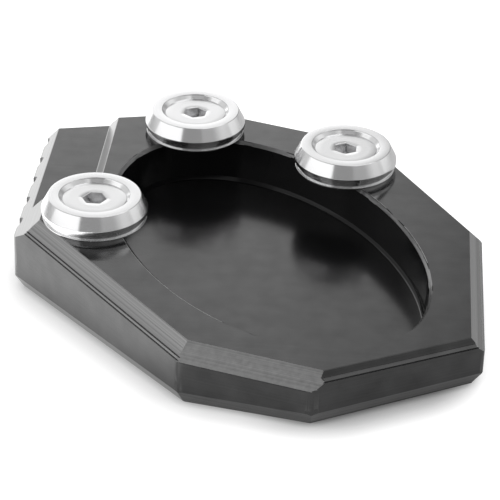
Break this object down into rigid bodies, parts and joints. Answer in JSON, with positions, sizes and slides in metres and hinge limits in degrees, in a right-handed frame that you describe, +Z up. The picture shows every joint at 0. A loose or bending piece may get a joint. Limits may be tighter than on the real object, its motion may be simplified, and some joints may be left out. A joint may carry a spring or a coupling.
{
  "type": "kickstand foot enlarger",
  "caption": "Black wedge-shaped aluminium pad with an oval pocket and silver clamp discs, which widens the foot of a motorbike's kickstand.",
  "frame": {"origin": "middle of the footprint's box, on the ground", "axes": "+Z up from the ground, +Y along the longest side towards the back, where the lowered ledge and two of the discs are, +X to the right as the picture shows it"},
  "size_m": [0.0888, 0.0984, 0.0223],
  "materials": {
    "pad": "satin black anodised",
    "disc": "turned, clear anodised",
    "screw": "bright, stainless"
  },
  "bodies": {
    "root": {"pad_body": "pad", "clamp_disc_left": "disc", "clamp_disc_back": "disc", "clamp_disc_right": "disc", "clamp_screws": "screw"}
  },
  "joints": []
}
